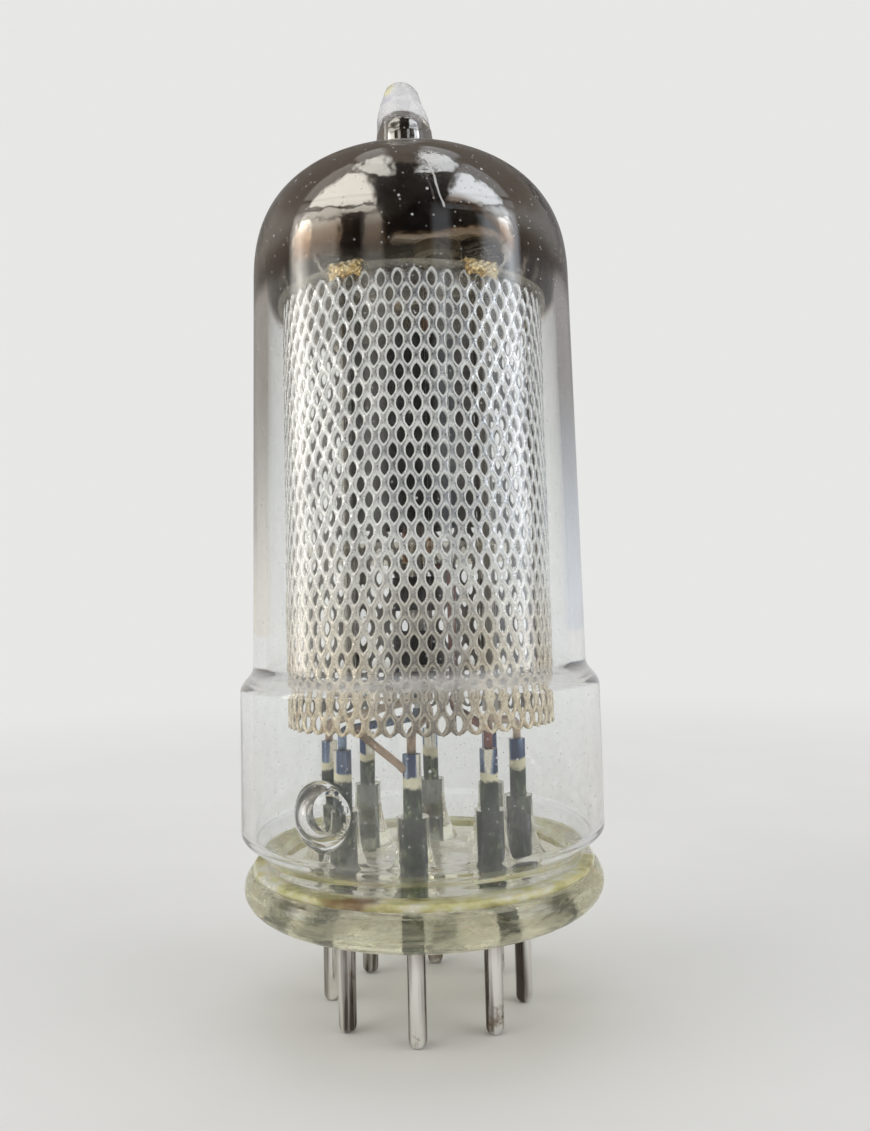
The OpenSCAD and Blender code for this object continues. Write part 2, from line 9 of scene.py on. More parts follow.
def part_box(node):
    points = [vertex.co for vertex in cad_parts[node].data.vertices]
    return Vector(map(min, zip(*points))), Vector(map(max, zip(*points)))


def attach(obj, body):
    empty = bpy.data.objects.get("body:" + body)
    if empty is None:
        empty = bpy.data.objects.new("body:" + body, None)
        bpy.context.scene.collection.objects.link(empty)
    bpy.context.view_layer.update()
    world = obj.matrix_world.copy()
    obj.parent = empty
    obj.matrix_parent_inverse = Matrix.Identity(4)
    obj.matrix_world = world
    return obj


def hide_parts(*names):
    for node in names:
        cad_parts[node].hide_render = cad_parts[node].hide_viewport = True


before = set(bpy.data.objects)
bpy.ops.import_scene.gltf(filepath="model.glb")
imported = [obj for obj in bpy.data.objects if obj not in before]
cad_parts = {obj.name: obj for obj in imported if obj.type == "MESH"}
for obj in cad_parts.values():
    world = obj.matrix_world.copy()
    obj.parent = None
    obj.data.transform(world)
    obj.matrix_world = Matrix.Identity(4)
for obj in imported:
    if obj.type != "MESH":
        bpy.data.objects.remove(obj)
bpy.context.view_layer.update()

MM = 0.001

# The photograph's camera, fitted in a frame where it stands on -Y, and then turned about the tube
CAMERA_TURN = math.radians(28.2)
CAMERA_AWAY, CAMERA_HEIGHT = 52.88, 22.38
CAMERA_YAW, CAMERA_PITCH, CAMERA_ROLL = 0.0200, -0.0674, 0.0243
FOCAL_PX, FRAME_HEIGHT_PX, SENSOR_MM = 859, 1131, 36
TOWARDS = (math.sin(CAMERA_TURN), -math.cos(CAMERA_TURN), 0)
ACROSS = (math.cos(CAMERA_TURN), math.sin(CAMERA_TURN), 0)

# Sizes of the CAD model in millimetres, which the pieces here keep to
BASE_TOP, SEAL_TOP, FLARE_Z, SKIRT_Z = 8.3, 8.7, 9.1, 10.6
SKIRT_TOP, BARREL_Z, DOME_Z, DOME_H, DOME_POWER = 18.7, 20.1, 42.9, 7.7, 2.7
NECK_R, SKIRT_R, BARREL_R, BARREL_TOP_R, WALL = 9.4, 10.75, 10.0, 9.75, 0.8
PIP_Z, PIP_R, PIP_DEPTH, PIP_BORE_R, PIP_BORE_DEPTH = 13.0, 1.7, 0.6, 1.1, -0.2
SHIELD_R, SHIELD_T, PIN_CIRCLE_R, WIRE_R = 8.0, 0.15, 5.75, 0.25
ROD_R, ROD_ANGLE, GRID_R, GRID_ANGLE, FILM_Z = 4.23, 112.5, 1.2, 67.5, 41.2
CLIP_ANGLES = (4, 54, 184, 234)

# The drawn-off tip ends a little higher than in the CAD model, as the photograph shows it
TIP_END, BORE_END = 56.75, 54.57

# Slots of the bulb's faces, and of the shield's
OUTSIDE, INSIDE, MIRRORED, FUSED = range(4)
SHIELD_FLAT, SHIELD_EDGE, SHIELD_BACK = range(3)


def level(node, end):
    """The height in millimetres of a CAD node's foot (0) or top (1)."""
    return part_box(node)[end].z / MM


PIN_TOP, APEX_Z = level("pin_1", 1), DOME_Z + DOME_H
SHIELD_Z, SHIELD_TOP = level("mesh_shield", 0), level("mesh_shield", 1)


def polar(r, degrees):
    a = math.radians(degrees)
    return r * math.sin(a), -r * math.cos(a)


def pin_angle(k):
    return 45 * (k - 0.5)


def in_view(side, front, z):
    """A place given across and towards the photograph's view, in millimetres."""
    return (ACROSS[0] * side + TOWARDS[0] * front, ACROSS[1] * side + TOWARDS[1] * front, z)


def rgb(r, g, b):
    return (r, g, b, 1.0)


WHITE, PALE = rgb(1, 1, 1), rgb(0.80, 0.80, 0.79)


def place_camera():
    level_out = math.cos(CAMERA_PITCH)
    forward = Vector(
        (math.sin(CAMERA_YAW) * level_out, math.cos(CAMERA_YAW) * level_out, -math.sin(CAMERA_PITCH))
    )
    flat = Vector((math.cos(CAMERA_YAW), -math.sin(CAMERA_YAW), 0))
    plumb = forward.cross(flat)
    right = math.cos(CAMERA_ROLL) * flat + math.sin(CAMERA_ROLL) * plumb
    down = -math.sin(CAMERA_ROLL) * flat + math.cos(CAMERA_ROLL) * plumb
    turned = Matrix((right, -down, -forward)).transposed().to_4x4()
    turned.translation = Vector((0, -CAMERA_AWAY * MM, CAMERA_HEIGHT * MM))
    data = bpy.data.cameras.new("camera")
    data.sensor_width = SENSOR_MM
    data.lens = FOCAL_PX * SENSOR_MM / FRAME_HEIGHT_PX
    data.clip_start, data.clip_end = 0.001, 50
    camera = bpy.data.objects.new("camera", data)
    bpy.context.scene.collection.objects.link(camera)
    camera.matrix_world = Matrix.Rotation(CAMERA_TURN, 4, "Z") @ turned
    bpy.context.scene.camera = camera


class Tree:
    """A node tree under construction. Inputs given as sockets are linked, others are set."""

    def __init__(self, owner):
        owner.use_nodes = True
        self.owner = owner
        self.tree = owner.node_tree
        self.tree.nodes.clear()

    def node(self, kind, inputs=None, **settings):
        made = self.tree.nodes.new(kind)
        for key, value in settings.items():
            setattr(made, key, value)
        for key, value in (inputs or {}).items():
            self.put(made.inputs[key], value)
        return made

    def put(self, socket, value):
        if isinstance(value, bpy.types.NodeSocket):
            self.tree.links.new(value, socket)
        else:
            socket.default_value = value

    def math(self, operation, a, b=0.0, clamp=False):
        made = self.node("ShaderNodeMath", {0: a, 1: b}, operation=operation, use_clamp=clamp)
        return made.outputs[0]

    def times(self, a, b, clamp=False):
        return self.math("MULTIPLY", a, b, clamp)

    def plus(self, a, b, clamp=False):
        return self.math("ADD", a, b, clamp)

    def minus(self, a, b, clamp=False):
        return self.math("SUBTRACT", a, b, clamp)

    def larger(self, a, b):
        return self.math("MAXIMUM", a, b)

    def hypotenuse(self, a, b):
        return self.math("SQRT", self.plus(self.math("POWER", a, 2.0), self.math("POWER", b, 2.0)))

    def span(self, value, low, high, to_low=0.0, to_high=1.0, smooth=True):
        """value taken from low..high to to_low..to_high, held at both ends."""
        made = self.node(
            "ShaderNodeMapRange",
            {"Value": value, "From Min": low, "From Max": high, "To Min": to_low, "To Max": to_high},
            interpolation_type="SMOOTHSTEP" if smooth else "LINEAR",
        )
        return made.outputs["Result"]

    def vary(self, noise, low, high):
        """low..high over the middle of a noise's range, where nearly all of it lies."""
        return self.span(noise, 0.3, 0.7, low, high)

    def within(self, value, low, high, soft):
        """1 where value lies between low and high, with soft edges."""
        up = self.span(value, low - soft, low + soft)
        return self.times(up, self.span(value, high - soft, high + soft, 1.0, 0.0))

    def place(self):
        return self.node("ShaderNodeTexCoord").outputs["Object"]

    def xyz(self):
        return self.node("ShaderNodeSeparateXYZ", {0: self.place()}).outputs

    def off_axis(self):
        xyz = self.xyz()
        return self.hypotenuse(xyz["X"], xyz["Y"])

    def along(self, vector, axis):
        made = self.node("ShaderNodeVectorMath", {0: vector, 1: axis}, operation="DOT_PRODUCT")
        return made.outputs["Value"]

    def away_from(self, side, front, z):
        """The distance from a place given in millimetres across and towards the photograph's view."""
        point = tuple(v * MM for v in in_view(side, front, z))
        made = self.node("ShaderNodeVectorMath", {0: self.place(), 1: point}, operation="DISTANCE")
        return made.outputs["Value"]

    def noise(self, scale, detail=3.0, rough=0.5, stretch=None, distortion=0.0):
        """Noise, finer along each axis by the factors in stretch."""
        place = self.place()
        if stretch:
            place = self.node("ShaderNodeMapping", {"Vector": place, "Scale": stretch}).outputs[0]
        settings = {"Scale": scale, "Detail": detail, "Roughness": rough, "Distortion": distortion}
        return self.node("ShaderNodeTexNoise", {"Vector": place, **settings}).outputs["Fac"]

    def specks(self, scale, size, share):
        """Round specks: one in some of the cells of a Voronoi texture."""
        cells = self.node("ShaderNodeTexVoronoi", {"Vector": self.place(), "Scale": scale})
        near = self.span(cells.outputs["Distance"], size * 0.6, size, 1.0, 0.0)
        pick = self.node("ShaderNodeSeparateColor", {0: cells.outputs["Color"]}).outputs[0]
        return self.times(near, self.math("LESS_THAN", pick, share))

    def blend(self, factor, a, b):
        made = self.node("ShaderNodeMix", data_type="RGBA")
        for socket, value in ((0, factor), (6, a), (7, b)):
            self.put(made.inputs[socket], value)
        return made.outputs[2]

    def ramp(self, factor, *stops):
        made = self.node("ShaderNodeValToRGB", {"Fac": factor})
        elements = made.color_ramp.elements
        while len(elements) < len(stops):
            elements.new(0.5)
        for element, (position, colour) in zip(elements, stops):
            element.position = position
            element.color = colour
        return made.outputs["Color"]

    def bump(self, height, distance):
        return self.node("ShaderNodeBump", {"Height": height, "Distance": distance}).outputs["Normal"]

    def principled(self, **inputs):
        names = {
            "colour": "Base Color",
            "metallic": "Metallic",
            "rough": "Roughness",
            "ior": "IOR",
            "normal": "Normal",
            "transmission": "Transmission Weight",
            "subsurface": "Subsurface Weight",
            "subsurface_scale": "Subsurface Scale",
        }
        made = self.node("ShaderNodeBsdfPrincipled", {names[k]: v for k, v in inputs.items()})
        return made.outputs[0]

    def plain(self, kind, colour):
        """A Diffuse, Translucent or Transparent shader of one colour."""
        return self.node("ShaderNodeBsdf" + kind, {"Color": colour}).outputs[0]

    def mix(self, factor, a, b):
        return self.node("ShaderNodeMixShader", {0: factor, 1: a, 2: b}).outputs[0]

    def lamps_pass(self, glass, tint):
        """Lets light from the lamps, and bounced light, straight through a glass."""
        path = self.node("ShaderNodeLightPath").outputs
        passing = self.larger(path["Is Shadow Ray"], path["Is Diffuse Ray"])
        return self.mix(passing, glass, self.plain("Transparent", tint))

    def finish(self, surface):
        kind = "World" if isinstance(self.owner, bpy.types.World) else "Material"
        self.node("ShaderNodeOutput" + kind, {"Surface": surface})
        return self.owner

    def finish_principled(self, **inputs):
        """Finishes the material with one principled shader."""
        return self.finish(self.principled(**inputs))


def material(name):
    return Tree(bpy.data.materials.new(name))


# The studio that metal and glass mirror. A height is the sine of the elevation, a turn is in radians from
# the camera's direction to its right, and a side is how far a direction points to the right.
# Windows: least and greatest side and turn. Panes: the same of height, and strength. Lights: of turn.
WINDOWS = ((-2.0, -0.34, -1.60, 0.0), (0.38, 2.0, 0.0, 1.48))
PANES = ((0.655, 0.930, 1.40), (0.575, 0.630, 0.95))
SIDE_LIGHTS = (
    (-1.62, -1.40, 4.2),
    (-1.38, -0.92, 1.40),
    (-0.58, -0.34, 0.75),
    (0.27, 0.50, 0.62),
    (0.92, 1.22, 1.50),
    (1.24, 1.42, 3.8),
)
ROOM_FRONT, ROOM_BACK, ROOM_HORIZON, ROOM_ABOVE = 0.030, 0.29, 0.48, 0.55
SKYLIGHT, AMBIENT = 1.15, 0.55

# Where the lamps aim, in metres
LAMP_AIM_Z = 0.03


def build_world():
    """Pale to the eye and through glass. Metal and glass mirror a studio: a window high on either side of
    the camera, tall narrow lights, and a dim room in front, behind and above."""
    world = bpy.data.worlds.new("studio")
    bpy.context.scene.world = world
    t = Tree(world)
    direction = t.node("ShaderNodeTexCoord").outputs["Generated"]
    side = t.along(direction, ACROSS)
    turn = t.math("ARCTAN2", side, t.along(direction, TOWARDS))
    aside = t.math("ABSOLUTE", turn)
    height = t.node("ShaderNodeSeparateXYZ", {0: direction}).outputs["Z"]
    strength = t.span(aside, 0.55, 1.75, ROOM_FRONT, ROOM_BACK)
    strength = t.times(strength, t.span(height, 0.55, 0.70, 1.0, ROOM_ABOVE))
    horizon = t.times(t.span(aside, 1.55, 1.80), t.span(height, 0.0, 0.30, ROOM_HORIZON, 0.0))
    strength = t.plus(strength, horizon)

    left, right = (
        t.times(t.within(side, a, b, 0.04), t.within(turn, c, d, 0.05)) for a, b, c, d in WINDOWS
    )
    windows = t.plus(left, right)
    for low, high, amount in PANES:
        pane = t.times(windows, t.within(height, low, high, 0.008))
        strength = t.plus(strength, t.times(pane, amount))
    opening = t.within(t.math("ABSOLUTE", t.plus(side, 0.03)), 0.10, 0.33, 0.03)
    opening = t.times(opening, t.within(height, 0.945, 0.992, 0.006))
    strength = t.plus(strength, t.times(opening, SKYLIGHT))
    under = t.span(height, 0.52, 0.585, 1.0, 0.0)
    for low, high, amount in SIDE_LIGHTS:
        light = t.times(under, t.within(turn, low, high, 0.05))
        strength = t.plus(strength, t.times(light, amount))

    warmth = t.blend(t.span(side, -0.4, 0.4), rgb(1.0, 0.955, 0.875), rgb(0.90, 0.94, 1.0))
    warmth = t.blend(t.span(strength, 0.05, 0.45), rgb(1.0, 0.78, 0.60), warmth)
    mirrored = t.node("ShaderNodeBackground", {"Color": warmth, "Strength": strength}).outputs[0]
    seen = t.node("ShaderNodeBackground", {"Color": PALE, "Strength": 1.0}).outputs[0]
    ambient = t.node("ShaderNodeBackground", {"Color": WHITE, "Strength": AMBIENT}).outputs[0]
    path = t.node("ShaderNodeLightPath").outputs
    direct = t.larger(path["Is Camera Ray"], path["Is Transmission Ray"])
    shiny = t.math("GREATER_THAN", path["Glossy Depth"], 0.5)
    t.finish(t.mix(shiny, t.mix(direct, ambient, seen), mirrored))


def build_floor():
    """A pale floor that melts into the background away from the tube."""
    rings, sides = (0.05, 0.12, 0.3, 0.8, 4.0), 96
    points = [(0, 0, 0)]
    faces = []
    for r in rings:
        turns = [2 * math.pi * k / sides for k in range(sides)]
        points += [(r * math.cos(a), r * math.sin(a), 0) for a in turns]
    for k in range(sides):
        n = (k + 1) % sides
        faces.append((0, 1 + k, 1 + n))
        for j in range(len(rings) - 1):
            a, b = 1 + j * sides, 1 + (j + 1) * sides
            faces.append((a + k, b + k, b + n, a + n))
    floor = add_mesh("floor", points, faces, scale=1.0)
    t = material("floor")
    mottle = t.ramp(t.noise(40, detail=4), (0.3, rgb(0.73, 0.73, 0.72)), (0.7, rgb(0.76, 0.76, 0.75)))
    lit = t.plain("Diffuse", mottle)
    away = t.node("ShaderNodeVectorMath", {0: t.place()}, operation="LENGTH").outputs["Value"]
    path = t.node("ShaderNodeLightPath").outputs
    mirrored = t.larger(path["Is Glossy Ray"], path["Is Transmission Ray"])
    looked_at = t.larger(path["Is Camera Ray"], mirrored)
    fade = t.times(t.span(away, 0.03, 0.22), looked_at)
    glow = t.node("ShaderNodeEmission", {"Color": PALE, "Strength": 1.0}).outputs[0]
    floor.data.materials.append(t.finish(t.mix(fade, lit, glow)))


def build_lamps():
    """Two soft boxes at the camera's sides and one overhead. They light, and the world is what shines."""
    lamps = (
        # name, turn and lift in degrees, distance and size in metres, power, colour
        ("lamp_left", -72, 32, 0.42, 0.34, 0.62, (1.0, 0.98, 0.95)),
        ("lamp_right", 66, 30, 0.42, 0.34, 0.55, (1.0, 0.98, 0.96)),
        ("lamp_top", 180, 74, 0.45, 0.40, 0.45, (1.0, 1.0, 1.0)),
    )
    for name, turn, lift, away, size, power, colour in lamps:
        data = bpy.data.lights.new(name, "AREA")
        data.shape, data.size, data.energy, data.color = "SQUARE", size, power, colour
        lamp = bpy.data.objects.new(name, data)
        bpy.context.scene.collection.objects.link(lamp)
        x, y = polar(away * math.cos(math.radians(lift)), math.degrees(CAMERA_TURN) + turn)
        spot = Vector((x, y, LAMP_AIM_Z + away * math.sin(math.radians(lift))))
        aim = Vector((0, 0, LAMP_AIM_Z)) - spot
        lamp.matrix_world = Matrix.Translation(spot) @ aim.to_track_quat("-Z", "Y").to_matrix().to_4x4()
        lamp.visible_camera = lamp.visible_glossy = lamp.visible_transmission = False


def add_mesh(name, points, faces, scale=MM, smooth=True, slots=None):
    mesh = bpy.data.meshes.new(name)
    mesh.from_pydata([(x * scale, y * scale, z * scale) for x, y, z in points], [], faces)
    mesh.update()
    mesh.polygons.foreach_set("use_smooth", [smooth] * len(mesh.polygons))
    if slots:
        mesh.polygons.foreach_set("material_index", slots)
    piece = bpy.data.objects.new(name, mesh)
    bpy.context.scene.collection.objects.link(piece)
    return piece


def finish_piece(piece, slot_name, *nodes):
    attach(piece, "root")
    if nodes:
        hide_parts(*nodes)


def ring_faces(start, count, rows):
    """Faces between closed rings of count points that follow one another."""
    faces = []
    for j in range(rows - 1):
        a = start + j * count
        b = a + count
        faces += [(a + k, a + (k + 1) % count, b + (k + 1) % count, b + k) for k in range(count)]
    return faces


def part_way(value, start, length):
    """How far value has come from start, held to 0..1."""
    return max(0.0, min(1.0, (value - start) / length))


def ease(t):
    return (1 - math.cos(math.pi * t)) / 2


def curve(r0, z0, r1, z1, steps):
    """An S-curve from one radius and height to another, without its last point."""
    return [(r0 + (r1 - r0) * ease(k / steps), z0 + (z1 - z0) * k / steps) for k in range(steps)]


def stretch(r0, z0, r1, z1, step):
    """A straight run with rows about step apart, without its last point."""
    count = max(1, round(math.hypot(r1 - r0, z1 - z0) / step))
    return [(r0 + (r1 - r0) * k / count, z0 + (z1 - z0) * k / count) for k in range(count)]


def dome(inset, steps, last=1.0):
    """The rounded top, up to that share of its quarter turn."""
    rows = []
    for k in range(steps + 1):
        a = math.pi / 2 * last * k / steps
        r = (BARREL_TOP_R - inset) * math.cos(a) ** (2 / DOME_POWER)
        rows.append((r, DOME_Z + (DOME_H - inset) * math.sin(a) ** (2 / DOME_POWER)))
    return rows


def side_profile(inset):
    """The bulb's side from the seal up to the foot of the dome, with close rows at the pip."""
    neck, skirt, barrel, top = (r - inset for r in (NECK_R, SKIRT_R, BARREL_R, BARREL_TOP_R))
    pip_end, bend_rows = PIP_Z + 2.0, 14
    return (
        [(neck, SEAL_TOP + 0.01)]
        + curve(neck, FLARE_Z, skirt, SKIRT_Z, bend_rows)
        + stretch(skirt, SKIRT_Z, skirt, pip_end, 0.12)
        + stretch(skirt, pip_end, skirt, SKIRT_TOP, 0.8)
        + curve(skirt, SKIRT_TOP, barrel, BARREL_Z, bend_rows)
        + stretch(barrel, BARREL_Z, top, DOME_Z, 1.6)
    )


def smooth_max(a, b, soft):
    h = part_way(a - b, -soft, 2 * soft)
    return b + (a - b) * h + soft * h * (1 - h)


def pip_push(degrees, z, r, size, depth):
    """How far the wall is pushed out at the locating pip, a ball of that size."""
    off = math.radians((degrees + 180) % 360 - 180) * r
    square = size * size - off * off - (z - PIP_Z) ** 2
    if square <= -4 * size:
        return 0.0
    ball = math.sqrt(square) - depth if square > 0 else square - depth
    return smooth_max(ball, 0.0, 0.12)


def fine_columns():
    """Angles round the bulb, closer together at the pip."""
    first, step, close, wide = -13, 0.6, 44, 172
    columns = [first + step * k for k in range(close)]
    rest = 360 - (columns[-1] - columns[0])
    return columns + [columns[-1] + rest * k / wide for k in range(1, wide)]


def tip_profile():
    """The exhaust tip: a flared foot, a shank that was drawn by hand and a blunt rounded end."""
    foot = [
        (1.78 + 0.9 * (1 - t) ** 2, APEX_Z - 0.267 + 1.25 * t)
        for t in (0.2, 0.3, 0.42, 0.55, 0.7, 0.85, 1.0)
    ]
    shank = [(1.80, 52.1), (1.81, 52.7), (1.80, 53.2), (1.77, 53.6), (1.72, 54.0), (1.66, 54.4)]
    end = [(1.56, 54.8), (1.44, 55.15), (1.33, 55.5), (1.23, 55.85), (1.12, 56.15), (0.98, 56.38)]
    crown = [(0.80, 56.55), (0.58, 56.66), (0.34, 56.72), (0.14, 56.745)]
    return foot + shank + end + crown


def bore_profile():
    """The bore that runs up into the tip from the inside of the dome."""
    straight = [(1.36, 49.95), (1.30, 50.3), (1.27, 50.9), (1.26, 51.8), (1.25, 52.8), (1.23, 53.6)]
    return straight + [(1.14, 54.05), (0.93, 54.32), (0.60, 54.48), (0.25, 54.55)]


def tip_wobble(z, a):
    """Small unevenness of the hand-drawn tip, in millimetres, always inwards."""
    grow = part_way(z, 51.2, 2.5) * part_way(TIP_END - z, 0.0, 0.6)
    wave = math.sin(2 * a + 0.6) * 0.5 + math.sin(3 * a + z * 2.2) * 0.35 + math.sin(z * 5.1 + a) * 0.3
    ripple = math.sin(z * 11.0 + 2 * a) * 0.3
    return -0.05 * grow * (1.1 + wave + ripple)


def lean(z):
    """The tip leans to the camera's left where it was drawn off: the shift in x and y, in millimetres."""
    left = 0.22 * ease(part_way(z, 50.2, 1.2)) + 0.20 * ease(part_way(z, 52.5, 4.0))
    return -ACROSS[0] * left, -ACROSS[1] * left


def bulb_points(rows, columns, size, depth, outside):
    """Rings of points up one face of the wall, with its side of the pip."""
    points = []
    for r, z in rows:
        shift_x, shift_y = lean(z)
        for degrees in columns:
            reach = r
            if SKIRT_Z - 0.3 < z < PIP_Z + 3:
                reach += pip_push(degrees, z, r, size, depth)
            if outside and z > 51:
                reach = max(0.02, reach + tip_wobble(z, math.radians(degrees)))
            x, y = polar(reach, degrees)
            points.append((x + shift_x, y + shift_y, z))
    return points


def build_bulb():
    """The blown glass, with the getter's metal on the part of its inner face where it was flashed."""
    columns = fine_columns()
    count = len(columns)
    outer = side_profile(0) + dome(0, 33, 0.905) + tip_profile()
    inner = side_profile(WALL) + dome(WALL, 34, 0.945) + bore_profile()
    points = bulb_points(outer, columns, PIP_R, PIP_DEPTH, outside=True)
    inner_start = len(points)
    points += bulb_points(inner, columns, PIP_BORE_R, PIP_BORE_DEPTH, outside=False)
    top = len(points)
    points += [(*lean(z), z) for z in (TIP_END, BORE_END)]
    faces, slots = [], []
    for layer, rows, start in ((OUTSIDE, outer, 0), (INSIDE, inner, inner_start)):
        last = start + (len(rows) - 1) * count
        sheet = ring_faces(start, count, len(rows))
        sheet += [(last + k, last + (k + 1) % count, top + layer) for k in range(count)]
        faces += [face[::-1] for face in sheet] if layer == INSIDE else sheet
        for _, z in rows:
            slots += [MIRRORED if layer == INSIDE and z > FILM_Z else layer] * count
    for k in range(count):
        n = (k + 1) % count
        faces.append((k, inner_start + k, inner_start + n, n))
        slots.append(FUSED)
    bulb = add_mesh("bulb", points, faces, slots=slots)
    rim = set(range(count)) | set(range(inner_start, inner_start + count))
    for edge in bulb.data.edges:
        if edge.vertices[0] in rim and edge.vertices[1] in rim:
            edge.use_edge_sharp = True
    bulb.data.materials.append(bulb_glass("bulb_outside", dusty_with_highlight=True))
    bulb.data.materials.append(bulb_glass("bulb_inside"))
    bulb.data.materials.append(bulb_glass("bulb_mirrored", mirrored=True))
    bulb.data.materials.append(joint_material())
    finish_piece(bulb, "bulb_glass", "glass_bulb")


def joint_material():
    """Where the bulb is fused to the enamel: no surface to see, only a faint cloudiness."""
    t = material("fused_joint")
    amount = t.span(t.noise(500, detail=4), 0.4, 0.8, 0.0, 0.35)
    return t.finish(t.mix(amount, t.plain("Transparent", WHITE), t.plain("Diffuse", rgb(0.75, 0.73, 0.55))))


def bulb_glass(name, dusty_with_highlight=False, mirrored=False):
    """Blown glass with faint waves. Outside it is handled and carries dust and a painted highlight band at
    the shoulder, and the tip is frosty.
    """
    t = material(name)
    waves = t.noise(130, detail=2, stretch=(1, 1, 0.45))
    smudge = t.noise(260, detail=5, rough=0.6)
    rough = t.span(smudge, 0.45, 0.8, 0.0, 0.07 if dusty_with_highlight else 0.02)
    if dusty_with_highlight:
        tip = t.span(t.xyz()["Z"], 0.0536, 0.0546)
        rough = t.plus(rough, t.times(tip, 0.12))
        waves = t.plus(waves, t.times(tip, t.noise(1100, detail=4, rough=0.6)))
    glass = t.principled(
        colour=rgb(0.955, 0.965, 0.96),
        rough=rough,
        ior=1.5,
        transmission=1.0,
        normal=t.bump(waves, 0.00006 if dusty_with_highlight else 0.00004),
    )
    if dusty_with_highlight:
        glass = t.mix(dust_and_highlight_amount(t, smudge, tip), glass, t.plain("Diffuse", dust_and_highlight_colour(t, tip)))
    clear = t.lamps_pass(glass, rgb(0.97, 0.975, 0.97))
    if mirrored:
        cover, metal = flashed_metal(t)
        return t.finish(t.mix(cover, clear, metal))
    return t.finish(clear)


def dust_and_highlight_amount(t, smudge, tip):
    """Haze and smears, thicker low down, with grains, a frosty tip and the scar, and a whitish band at the
    shoulder that is a painted highlight.
    """
    z = t.xyz()["Z"]
    haze = t.span(t.noise(420, detail=6, rough=0.7), 0.42, 0.75, 0.0, 0.10)
    # A whitish band round the shoulder, mixed in like dust: a painted highlight.
    shoulder = t.times(t.within(z, 0.0190, 0.0199, 0.0003), t.span(smudge, 0.3, 0.6, 0.22, 0.52))
    low = t.times(t.span(z, 0.0100, 0.0220, 1.0, 0.0), t.span(smudge, 0.38, 0.7, 0.0, 0.07))
    amount = t.plus(t.plus(t.plus(haze, shoulder), 0.015), low)
    grazing = t.node("ShaderNodeLayerWeight", {"Blend": 0.5}).outputs["Facing"]
    edges = t.times(t.math("POWER", grazing, 3.0), t.span(z, 0.0405, 0.0425, 0.30, 0.07))
    amount = t.plus(t.times(amount, t.span(z, 0.0400, 0.0420, 1.0, 0.22)), edges)
    grains = t.larger(t.times(t.specks(3400, 0.27, 0.24), 0.36), t.times(t.specks(1500, 0.15, 0.14), 0.8))
    amount = t.larger(amount, grains)
    crust = t.span(t.noise(620, detail=5, rough=0.65), 0.36, 0.66, 0.10, 0.70)
    amount = t.plus(amount, t.times(tip, crust))
    return t.plus(amount, scar(t), clamp=True)


def dust_and_highlight_colour(t, tip):
    """Grey dust, and on the tip white frost with one small yellow spot."""
    frost = t.ramp(t.noise(900, detail=4), (0.38, rgb(0.60, 0.58, 0.66)), (0.58, rgb(0.90, 0.89, 0.91)))
    # A small pale yellow spot high on the tip's left side.
    stain = t.span(t.away_from(-1.1, 0.7, 56.05), 0.0003, 0.0006, 1.0, 0.0)
    frost = t.blend(stain, frost, rgb(0.93, 0.86, 0.42))
    # The grey dust colour also paints the highlight band at the shoulder.
    return t.blend(tip, rgb(0.66, 0.66, 0.655), frost)


def scar(t):
    """A crack that runs down from a cluster of tiny bubbles near the tip's foot."""
    place, z = t.place(), t.xyz()["Z"]
    side, front = t.along(place, ACROSS), t.along(place, TOWARDS)
    wiggle = t.times(t.minus(t.noise(900, detail=3), 0.5), 0.0006)
    course = t.plus(t.span(z, 0.0442, 0.0469, 0.00176, 0.00100, smooth=False), wiggle)
    off = t.math("ABSOLUTE", t.minus(side, course))
    line = t.times(t.span(off, 0.00003, 0.00008, 0.8, 0.0), t.within(z, 0.0440, 0.0470, 0.0001))
    cells = t.node("ShaderNodeTexVoronoi", {"Vector": place, "Scale": 3600.0}).outputs["Distance"]
    cluster = t.span(t.away_from(1.1, 8.6, 46.9), 0.0004, 0.0011, 0.8, 0.0)
    bubbles = t.times(t.within(cells, 0.30, 0.48, 0.06), cluster)
    return t.times(t.larger(line, bubbles), t.math("GREATER_THAN", front, 0.0))


def flashed_metal(t):
    """The mask and the metal of the getter, the same on the glass and on the sheet inside it."""
    uneven = t.noise(170, detail=4, rough=0.6)
    streaks = t.noise(240, detail=3, stretch=(1, 1, 0.22))
    lift = t.times(t.minus(uneven, 0.5), 0.0016)
    sweep = t.times(t.minus(streaks, 0.5), 0.0020)
    edge = t.plus(t.xyz()["Z"], t.plus(lift, sweep))
    before_ring = t.span(t.away_from(2.2, 8.7, 42.1), 0.0018, 0.0036, 0.0034, 0.0)
    edge = t.minus(edge, before_ring)
    cover = t.span(edge, 0.0416, 0.0430)
    colour = t.ramp(
        t.span(edge, 0.0419, 0.0450),
        (0.0, rgb(0.075, 0.042, 0.022)),
        (0.45, rgb(0.16, 0.12, 0.09)),
        (0.8, rgb(0.38, 0.355, 0.325)),
        (1.0, rgb(0.54, 0.525, 0.505)),
    )
    bare = t.times(t.specks(1500, 0.15, 0.08), 0.7)
    cover = t.minus(cover, bare, clamp=True)
    metal = t.principled(
        colour=colour,
        metallic=1.0,
        rough=t.vary(uneven, 0.02, 0.08),
        normal=t.bump(t.noise(230, detail=4, rough=0.6), 0.00005),
    )
    return cover, metal


def shield_inside():
    """The shield's inner face, dulled by what evaporated from the electrodes."""
    t = material("shield_inside")
    darkening = t.noise(420, detail=5, rough=0.65)
    colour = t.ramp(darkening, (0.3, rgb(0.16, 0.155, 0.15)), (0.7, rgb(0.40, 0.385, 0.37)))
    return t.finish_principled(colour=colour, metallic=0.7, rough=t.vary(darkening, 0.35, 0.55))


